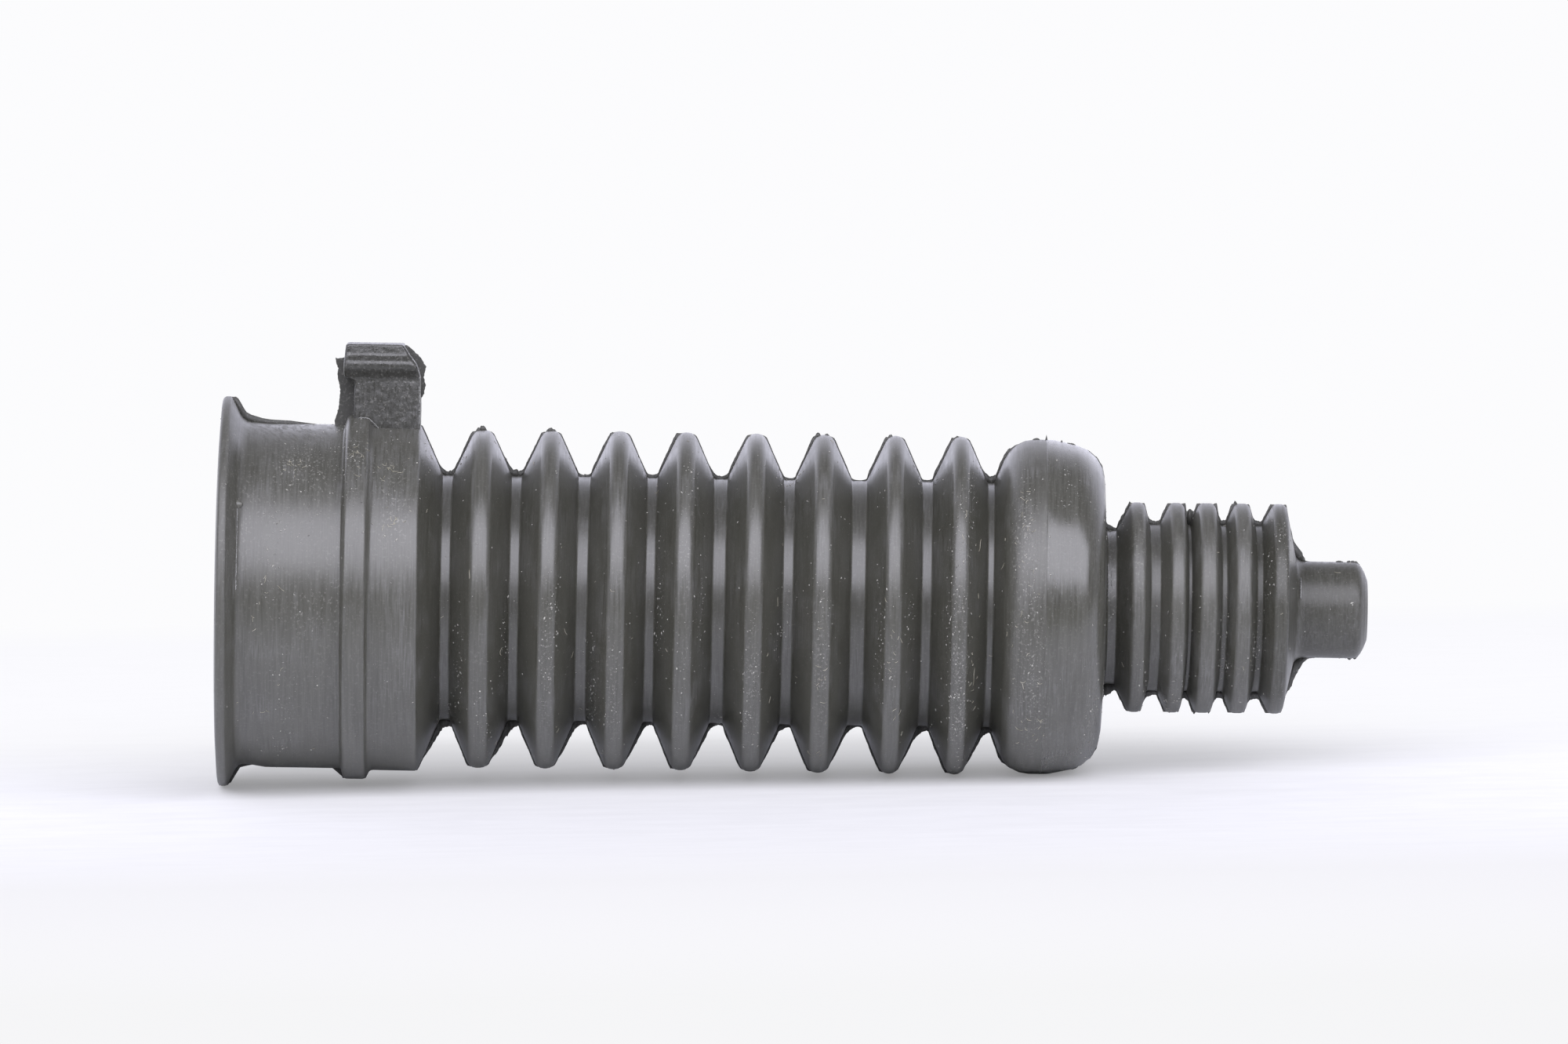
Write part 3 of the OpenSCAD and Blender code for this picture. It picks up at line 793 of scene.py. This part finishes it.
def dust_grains(rng):
    """Grains are two small four-sided pyramids, foot to foot. Most lie in patches that run
    round the boot more than along it, and the rest lie anywhere."""
    home_run = rng.uniform(outer_along[3], np.interp(LAST_PATCH_X, outer_x, outer_along), PATCHES)
    home_turn = rng.uniform(0, 2 * math.pi, PATCHES)
    known = len(seen_patches)
    home_run[:known] = np.interp(seen_patches[:, 0], outer_x, outer_along)
    home_turn[:known] = seen_patches[:, 1]
    patch = rng.integers(0, PATCHES, GRAINS)
    run = home_run[patch] + rng.normal(0, 1.3, GRAINS)
    around = home_turn[patch] + rng.normal(0, 0.24, GRAINS)
    run = np.concatenate([run, rng.uniform(outer_along[3], outer_along[-6], LOOSE)])
    around = np.concatenate([around, rng.uniform(0, 2 * math.pi, LOOSE)])
    run = np.clip(run, outer_along[2], outer_along[-3])
    size = 0.038 + 0.15 * rng.random(len(run)) ** 4
    foot, normal = surface_at(run, around, 0.0)
    side = np.cross(normal, rng.normal(size=normal.shape))
    side /= np.linalg.norm(side, axis=-1, keepdims=True)
    other = np.cross(normal, side)
    stretch = (1 + 1.5 * rng.random(len(run)) ** 2)[:, None]
    s = size[:, None]
    corners = np.stack([foot + s * stretch * side, foot + s * other, foot - s * stretch * side,
                        foot - s * other, foot + 0.7 * s * normal, foot - 0.3 * s * normal], 1)
    one = np.array([(0, 1, 4), (1, 2, 4), (2, 3, 4), (3, 0, 4), (1, 0, 5), (2, 1, 5), (3, 2, 5), (0, 3, 5)])
    faces = (one[None] + (np.arange(len(run)) * 6)[:, None, None]).reshape(-1, 3)
    return corners.reshape(-1, 3), faces


dust = new_object("dust", *dust_grains(rng))
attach(dust, "root")
print("dust grains:", LOOSE + GRAINS)

# %% [markdown]
# ## Painted highlights on edges
#
# Pale lines paint the highlights where the lug's edges and its foot catch the light, and where a few
# places that lie in a groove or at a foot catch it too. These are lines more than surfaces, so they
# are thin tubes laid along a few listed places on the side that is seen.

# %% Painted highlights: pale lines on the lug and in the grooves
FACE_Y = -5.42
# Painted highlights: each list is a pale line on the lug, in mm.
highlight_lines = [
    [(30.4, -5.5, 29.2), (32.5, -5.5, 29.15), (34.8, -5.45, 29.2)],
    [(23.9, FACE_Y, 31.15), (24.6, FACE_Y, 31.3), (25.7, FACE_Y, 31.2), (26.4, FACE_Y, 30.7),
     (27.6, FACE_Y, 29.5)],
    [(31.8, -5.2, 43.9), (32.9, -5.55, 42.2), (34.15, -6.3, 40.6), (34.55, -5.3, 38.6),
     (34.6, -5.25, 35.0), (34.62, -5.3, 29.4)],
    [(23.9, FACE_Y, 37.2), (24.1, FACE_Y, 37.25)],
]
# Lines that run round the boot: place along the axis, radius there, and the angles of both ends.
ring_lines = [(154.95, 13.75, 0.95, 1.40), (155.5, 13.42, 1.05, 1.25), (188.75, 8.95, 0.85, 1.30),
              (3.75, float(outline_radius(3.75)), 1.02, 1.5)]
for x, r, start, end in ring_lines:
    highlight_lines.append([tuple(rubber_place(x, r, angle)) for angle in np.linspace(start, end, 7)])
HIGHLIGHT_LINE_R, HIGHLIGHT_LINE_SIDES = 0.085, 6


def tube_along(places, radius, step=0.12):
    """A tube along a bent line, as rings of points. The line is cut into equal steps, each place is
    pushed aside a little by chance, and a ring square to the line stands round it."""
    places = np.array(places, float)
    lengths = np.concatenate([[0], np.cumsum(np.linalg.norm(np.diff(places, axis=0), axis=1))])
    at = np.linspace(0, lengths[-1], max(3, round(lengths[-1] / step)))
    middle = np.stack([np.interp(at, lengths, places[:, k]) for k in range(3)], 1)
    middle[:, [0, 2]] += rng.normal(0, 0.025, (len(at), 2))
    ahead = np.gradient(middle, axis=0)
    ahead /= np.linalg.norm(ahead, axis=1, keepdims=True)
    side = np.cross(ahead, [0, 1, 0])
    side /= np.linalg.norm(side, axis=1, keepdims=True)
    up = np.cross(side, ahead)
    ring = np.linspace(0, 2 * math.pi, HIGHLIGHT_LINE_SIDES, endpoint=False)[None, :, None]
    thick = radius * (0.5 + rng.random(len(at)))[:, None, None]
    return middle[:, None] + thick * (np.cos(ring) * side[:, None] + np.sin(ring) * up[:, None])


tubes = [tube_along(places, HIGHLIGHT_LINE_R) for places in highlight_lines]
first = np.cumsum([0] + [len(t) * HIGHLIGHT_LINE_SIDES for t in tubes])
skins = [grid_faces(len(t), HIGHLIGHT_LINE_SIDES, close_columns=True) + f for t, f in zip(tubes, first)]
cap = np.arange(HIGHLIGHT_LINE_SIDES)
# A pale tube along each line paints a highlight; it is not wear.
worn = new_object("painted_highlight_lines", np.vstack([t.reshape(-1, 3) for t in tubes]), np.vstack(skins),
                  [f + cap for f in first[:-1]], [f - HIGHLIGHT_LINE_SIDES + cap[::-1] for f in first[1:]])
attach(worn, "root")
print("painted highlight lines:", len(tubes))

# %% [markdown]
# ## The finish of the rubber
#
# Moulded rubber is nearly black, but it never looks black: it has a soft gloss that mirrors a
# window as a broad band, fine rings left by the tool that cut the mould, and a dull bloom where it
# was touched. The colour stays dark and plain. Roughness does most of the work, and it reads the
# grain marks stored on the mesh, so the rings run round the boot.

# %% Node helpers
def material(name):
    """An empty material with a Principled surface; returns its nodes, its links and the surface."""
    made = bpy.data.materials.new(name)
    made.use_nodes = True
    nodes, links = made.node_tree.nodes, made.node_tree.links
    return made, nodes, links, nodes["Principled BSDF"]


def noise(nodes, links, vector, scale, detail=2.0, rough=0.5):
    """A noise texture that reads the given vector."""
    node = nodes.new("ShaderNodeTexNoise")
    node.inputs["Scale"].default_value = scale
    node.inputs["Detail"].default_value = detail
    node.inputs["Roughness"].default_value = rough
    links.new(vector, node.inputs["Vector"])
    return node.outputs["Fac"]


def stored(nodes, name, output="Fac"):
    """What point_attribute stored on the mesh under this name."""
    node = nodes.new("ShaderNodeAttribute")
    node.attribute_name = name
    return node.outputs[output]


def stretched(nodes, links, vector, scale, turned=(0, 0, 0)):
    """The vector turned, then scaled differently in its three directions, which draws noise out into
    streaks."""
    node = nodes.new("ShaderNodeMapping")
    node.vector_type = "TEXTURE"
    node.inputs["Rotation"].default_value = turned
    node.inputs["Scale"].default_value = tuple(1 / s for s in scale)
    links.new(vector, node.inputs["Vector"])
    return node.outputs["Vector"]


def ramp(nodes, links, value, low, high, to_low=0.0, to_high=1.0):
    """Maps the range low..high to to_low..to_high, and holds still outside it."""
    node = nodes.new("ShaderNodeMapRange")
    for socket, number in (("From Min", low), ("From Max", high), ("To Min", to_low), ("To Max", to_high)):
        node.inputs[socket].default_value = number
    links.new(value, node.inputs["Value"])
    return node.outputs["Result"]


def maths(nodes, links, operation, a, b):
    """One step of arithmetic on two values, each a socket or a plain number."""
    node = nodes.new("ShaderNodeMath")
    node.operation = operation
    for socket, value in zip(node.inputs, (a, b)):
        if isinstance(value, (int, float)):
            socket.default_value = value
        else:
            links.new(value, socket)
    return node.outputs["Value"]


def blend_colours(nodes, links, share, first, second):
    """A mix of two colours by a share; each is a plain colour or a socket."""
    node = nodes.new("ShaderNodeMix")
    node.data_type = "RGBA"
    links.new(share, node.inputs["Factor"])
    for socket, value in ((node.inputs["A"], first), (node.inputs["B"], second)):
        if isinstance(value, tuple):
            socket.default_value = (*value, 1)
        else:
            links.new(value, socket)
    return node.outputs["Result"]


# %% Rubber
BLACK = (0.055, 0.054, 0.041)
RUBBED = (0.086, 0.085, 0.069)
BLOOM = (0.130, 0.129, 0.120)
DUST = (0.42, 0.41, 0.37)


def rubber_finish(name, rough_low, rough_high, grain_depth, shade, gloss, streaky):
    """Dark rubber with ring marks, bloom and rubbed-in dust. Shade multiplies the colour, and gloss
    says how strongly it mirrors. Streaky pieces read the marks stored on the mesh, the others draw
    their streaks from the place in space."""
    made, nodes, links, surface = material(name)
    space = nodes.new("ShaderNodeTexCoord").outputs["Object"]
    if streaky:
        marks = stored(nodes, "grain", "Vector")
        wide = noise(nodes, links, stretched(nodes, links, marks, (1.9, 2.4, 2.4)), 1.0, 3.0, 0.6)
        fine = noise(nodes, links, stretched(nodes, links, marks, (3.6, 5.5, 5.5)), 1.0, 2.0, 0.6)
        dusty = stored(nodes, "dusty")
    else:
        wide = noise(nodes, links, stretched(nodes, links, space, (1500, 900, 500)), 1.0, 3.0, 0.6)
        fine = noise(nodes, links, stretched(nodes, links, space, (3200, 1500, 700)), 1.0, 2.0, 0.6)
        dusty = 0.45
    streaks = maths(nodes, links, "ADD", maths(nodes, links, "MULTIPLY", wide, 0.55),
                    maths(nodes, links, "MULTIPLY", fine, 0.45))
    patches = noise(nodes, links, space, 110, 4.0, 0.6)
    grit = noise(nodes, links, space, 2300, 2.0, 0.55)
    black, rubbed, bloomed = (tuple(shade * c for c in colour) for colour in (BLACK, RUBBED, BLOOM))
    rubbed = blend_colours(nodes, links, ramp(nodes, links, streaks, 0.36, 0.64), black, rubbed)
    bloom = maths(nodes, links, "MULTIPLY", ramp(nodes, links, patches, 0.48, 0.72),
                  ramp(nodes, links, fine, 0.4, 0.7))
    colour = blend_colours(nodes, links, bloom, rubbed, bloomed)
    speckle = maths(nodes, links, "MULTIPLY", ramp(nodes, links, grit, 0.56, 0.72),
                    maths(nodes, links, "MULTIPLY", dusty, 0.5))
    colour = blend_colours(nodes, links, speckle, colour, DUST)
    links.new(colour, surface.inputs["Base Color"])
    rough = ramp(nodes, links, streaks, 0.36, 0.64, rough_low, rough_high)
    rough = maths(nodes, links, "ADD", rough, ramp(nodes, links, patches, 0.42, 0.68, 0.0, 0.09))
    if streaky:
        polish = maths(nodes, links, "MULTIPLY", stored(nodes, "polish"), 0.12)
        rough = maths(nodes, links, "SUBTRACT", rough, polish)
        slanted = stretched(nodes, links, space, (300, 500, 1900), (0, math.radians(38), 0))
        brushed = ramp(nodes, links, noise(nodes, links, slanted, 1.0, 2.0, 0.6), 0.45, 0.65)
        brushed = maths(nodes, links, "MULTIPLY", brushed, stored(nodes, "scuffed"))
        rough = maths(nodes, links, "ADD", rough, maths(nodes, links, "MULTIPLY", brushed, 0.22))
    links.new(rough, surface.inputs["Roughness"])
    bump = nodes.new("ShaderNodeBump")
    bump.inputs["Distance"].default_value = grain_depth
    bump.inputs["Strength"].default_value = 1.0
    height = maths(nodes, links, "ADD", maths(nodes, links, "MULTIPLY", fine, 0.5), grit)
    links.new(height, bump.inputs["Height"])
    links.new(bump.outputs["Normal"], surface.inputs["Normal"])
    surface.inputs["Specular IOR Level"].default_value = gloss
    surface.inputs["IOR"].default_value = 1.6
    return made


boot.data.materials.append(rubber_finish(
    "moulded rubber", rough_low=0.28, rough_high=0.37, grain_depth=0.000006,
    shade=1.0, gloss=0.8, streaky=True))
boot.data.materials.append(rubber_finish(
    "worn rubber", rough_low=0.3, rough_high=0.44, grain_depth=0.000012,
    shade=0.85, gloss=0.48, streaky=True))
lug.data.materials.append(rubber_finish(
    "grainy rubber", rough_low=0.24, rough_high=0.5, grain_depth=0.00006,
    shade=0.5, gloss=0.8, streaky=False))

# %% Flash, lint and dust
flash_finish = rubber_finish(
    "torn rubber", rough_low=0.5, rough_high=0.7, grain_depth=0.00003,
    shade=0.6, gloss=0.8, streaky=False)
for name in ("flash_above", "flash_below", "flash_in_notch", "flash_on_lug_edge"):
    bpy.data.objects[name].data.materials.append(flash_finish)
# The tongue's colour is 1.3 times the boot's: a painted highlight for the light on its face.
tongue.data.materials.append(rubber_finish(
    "lightened rubber", rough_low=0.32, rough_high=0.45, grain_depth=0.00001,
    shade=1.3, gloss=0.8, streaky=False))


def dry_finish(name, low, high):
    """A dry, dull material whose colour wanders between two tones."""
    made, nodes, links, surface = material(name)
    space = nodes.new("ShaderNodeTexCoord").outputs["Object"]
    tone = ramp(nodes, links, noise(nodes, links, space, 900), 0.35, 0.65)
    links.new(blend_colours(nodes, links, tone, low, high), surface.inputs["Base Color"])
    surface.inputs["Roughness"].default_value = 0.85
    surface.inputs["Specular IOR Level"].default_value = 0.3
    return made


# The painted highlight lines are dull and pale grey.
worn.data.materials.append(dry_finish("painted highlight line", (0.16, 0.16, 0.152), (0.40, 0.40, 0.385)))
lint.data.materials.append(dry_finish("lint", (0.34, 0.32, 0.24), (0.62, 0.59, 0.48)))
dust.data.materials.append(dry_finish("shelf dust", (0.20, 0.197, 0.18), (0.58, 0.57, 0.51)))

# %% [markdown]
# ## Table, lamp and camera
#
# The boot lies on its lip and its last large fold, so the table tilts under it by about two degrees.
# One wide soft lamp stands above the camera; its image is the broad bright band on every crest. The
# rest is a pale room: bright behind the boot, dimmer towards the camera.

# %% Camera
PHOTO_W = 2000
MM_PER_PIXEL = 0.13692
AWAY = 2880.0            # from the camera to the boot's axis, in mm
AXIS_DROP = math.radians(0.86)
LOOK_DOWN = math.radians(2.5)
LOOK_ASIDE = math.radians(0.27)
LOOK_AT = Vector((98.47, 0.0, 13.96)) * MM

ahead = Vector((math.sin(LOOK_ASIDE) * math.cos(LOOK_DOWN), math.cos(LOOK_ASIDE) * math.cos(LOOK_DOWN),
                -math.sin(LOOK_DOWN)))
camera_data = bpy.data.cameras.new("camera")
camera_data.sensor_width = 36.0
camera_data.lens = camera_data.sensor_width * AWAY / (PHOTO_W * MM_PER_PIXEL)
camera = bpy.data.objects.new("camera", camera_data)
bpy.context.scene.collection.objects.link(camera)
upright = ahead.to_track_quat("-Z", "Y").to_matrix().to_4x4()
stand = Matrix.Translation(LOOK_AT - ahead * AWAY * MM)
camera.matrix_world = stand @ upright @ Matrix.Rotation(AXIS_DROP, 4, "Z")
camera_data.clip_end = 50
bpy.context.scene.camera = camera
print("lens, mm:", round(camera_data.lens, 1))

# %% Table
LIP_CONTACT = (1.4, -33.5)
FOLD_CONTACT = (128.9, -29.35)
SINK = -0.2              # the torn flash underneath keeps the boot this far off the card
TABLE_HALF = 14.0        # in metres
TABLE_LINES = 91
CROWDED = 6.5            # how much closer together its lines lie near the boot
ROLL = math.tan(math.radians(5.0))     # the boot has rolled a little towards the camera
ROLL_REACH = 100.0       # in mm; further away the card lies level again
rise = (FOLD_CONTACT[1] - LIP_CONTACT[1]) / (FOLD_CONTACT[0] - LIP_CONTACT[0])
table_x = np.linspace(-TABLE_HALF, TABLE_HALF, 3)[None, :] / MM
table_y = np.sinh(np.linspace(-CROWDED, CROWDED, TABLE_LINES)) * TABLE_HALF / np.sinh(CROWDED) / MM
table_y = table_y[:, None]
table_z = (LIP_CONTACT[1] + SINK + rise * (table_x - LIP_CONTACT[0])
           + ROLL * ROLL_REACH * np.tanh(table_y / ROLL_REACH))
table_x, table_y = np.broadcast_to(table_x, table_z.shape), np.broadcast_to(table_y, table_z.shape)
table = new_object("table", np.stack([table_x, table_y, table_z], -1).reshape(-1, 3),
                   grid_faces(TABLE_LINES, 3)[:, ::-1])
print("table's slope, degrees:", round(math.degrees(math.atan(rise)), 2))

# The table is white card. A camera would show it burnt out, so towards the camera it is a little
# darker than towards the rubber, and far away it fades to the plain white of the backdrop. Places
# on it are in metres, and Y grows away from the camera.
WHITE = (0.972, 0.972, 0.985)
CARD = (0.92, 0.93, 0.955)             # what the rubber mirrors beside itself
CARD_IN_FRONT = (0.30, 0.31, 0.32)     # what it mirrors in front, where the card lies in shade
CREASED, SMOOTH = (0.83, 0.83, 0.815), (0.88, 0.88, 0.865)
SEEN_IN_FRONT = (0.76, 0.757, 0.715)
table_finish, nodes, links, surface = material("white table")
surface.inputs["Roughness"].default_value = 1.0
surface.inputs["Specular IOR Level"].default_value = 0.0
light_path = nodes.new("ShaderNodeLightPath")
place = nodes.new("ShaderNodeTexCoord").outputs["Object"]
depth = nodes.new("ShaderNodeSeparateXYZ")
links.new(place, depth.inputs["Vector"])
off_front = ramp(nodes, links, depth.outputs["Y"], -0.26, -0.07)
to_rubber = blend_colours(nodes, links, off_front, CARD_IN_FRONT, CARD)
creases = noise(nodes, links, stretched(nodes, links, place, (60, 250, 250)), 1.0, 3.0, 0.6)
to_camera = blend_colours(nodes, links, ramp(nodes, links, creases, 0.3, 0.7), CREASED, SMOOTH)
off_front = ramp(nodes, links, depth.outputs["Y"], -0.15, -0.05)
to_camera = blend_colours(nodes, links, off_front, SEEN_IN_FRONT, to_camera)
seen = light_path.outputs["Is Camera Ray"]
links.new(blend_colours(nodes, links, seen, to_rubber, to_camera), surface.inputs["Base Color"])
dim_in_front = ramp(nodes, links, depth.outputs["Y"], -0.3, 0.1, 0.35, 1.2)
glow = nodes.new("ShaderNodeEmission")
glow.inputs["Color"].default_value = (*WHITE, 1)
glow_level = nodes.new("ShaderNodeMix")
links.new(seen, glow_level.inputs["Factor"])
links.new(dim_in_front, glow_level.inputs["A"])
links.new(ramp(nodes, links, depth.outputs["Y"], -0.2, -0.04, 0.945, 1.0), glow_level.inputs["B"])
links.new(glow_level.outputs["Result"], glow.inputs["Strength"])
from_boot = nodes.new("ShaderNodeVectorMath")
from_boot.operation = "DISTANCE"
from_boot.inputs[1].default_value = (0.035, 0.0, -0.03)
links.new(stretched(nodes, links, place, (0.35, 1.0, 1.0)), from_boot.inputs[0])
far = ramp(nodes, links, from_boot.outputs["Value"], 0.05, 0.4)
# Close to the boot, more behind it than in front, the card glows a little for the camera: painted light
# that lightens its shadow there.
shadow_lift_glow = ramp(nodes, links, depth.outputs["Y"], -0.015, 0.06, 0.13, 0.76)
far = maths(nodes, links, "MAXIMUM", far, maths(nodes, links, "MULTIPLY", shadow_lift_glow, seen))
mixer = nodes.new("ShaderNodeMixShader")
links.new(far, mixer.inputs["Fac"])
links.new(surface.outputs["BSDF"], mixer.inputs[1])
links.new(glow.outputs["Emission"], mixer.inputs[2])
links.new(mixer.outputs["Shader"], nodes["Material Output"].inputs["Surface"])
table.data.materials.append(table_finish)

# %% Room
# Its light fades towards the camera, to the right and overhead, but never below the least level.
ROOM_MOST, ROOM_LEAST = 1.5, 0.28
ROOM_TINT = (0.955, 0.955, 1.11)
world = bpy.data.worlds.new("pale room")
bpy.context.scene.world = world
world.use_nodes = True
nodes, links = world.node_tree.nodes, world.node_tree.links
direction = nodes.new("ShaderNodeTexCoord").outputs["Generated"]
split = nodes.new("ShaderNodeSeparateXYZ")
links.new(direction, split.inputs["Vector"])
behind = ramp(nodes, links, split.outputs["Y"], 0.0, 0.58)
aside = ramp(nodes, links, split.outputs["X"], 0.35, 0.8, 1.0, 0.4)
low_down = ramp(nodes, links, split.outputs["Z"], 0.4, 0.88, 1.0, 0.0)
room_level = maths(nodes, links, "MULTIPLY", maths(nodes, links, "MULTIPLY", behind, low_down), aside)
room_level = maths(nodes, links, "MULTIPLY", room_level, ROOM_MOST)
room_level = maths(nodes, links, "ADD", room_level, ROOM_LEAST)
room_path = nodes.new("ShaderNodeLightPath")
strength = nodes.new("ShaderNodeMix")
seen = room_path.outputs["Is Camera Ray"]
links.new(seen, strength.inputs["Factor"])
links.new(room_level, strength.inputs["A"])
strength.inputs["B"].default_value = 1.0
background = nodes["Background"]
links.new(blend_colours(nodes, links, seen, ROOM_TINT, WHITE), background.inputs["Color"])
links.new(strength.outputs["Result"], background.inputs["Strength"])
print("materials in the scene:", len(bpy.data.materials))

# %% Lamp
MIDDLE = Vector((0.1, 0, 0))      # of the boot, in metres
LAMP_TINT = (0.955, 0.95, 1.06)


def soft_lamp(name, elevation, azimuth, away, wide, tall, power):
    """A rectangular lamp that looks at the middle of the boot from a direction given by its height
    above the horizon and its turn to the right of the camera."""
    data = bpy.data.lights.new(name, "AREA")
    data.shape = "RECTANGLE"
    data.size, data.size_y = wide, tall
    data.energy = power
    data.color = LAMP_TINT
    lamp = bpy.data.objects.new(name, data)
    bpy.context.scene.collection.objects.link(lamp)
    e, a = math.radians(elevation), math.radians(azimuth)
    towards = Vector((math.sin(a) * math.cos(e), -math.cos(a) * math.cos(e), math.sin(e)))
    facing = towards.to_track_quat("Z", "Y").to_matrix().to_4x4()
    lamp.matrix_world = Matrix.Translation(MIDDLE + towards * away) @ facing
    print(name + ":", power, "watts")


soft_lamp("window above the camera", elevation=41, azimuth=0, away=2.6, wide=8.4, tall=2.2, power=174)

# %% Finish
bpy.context.scene.view_settings.view_transform = "Standard"
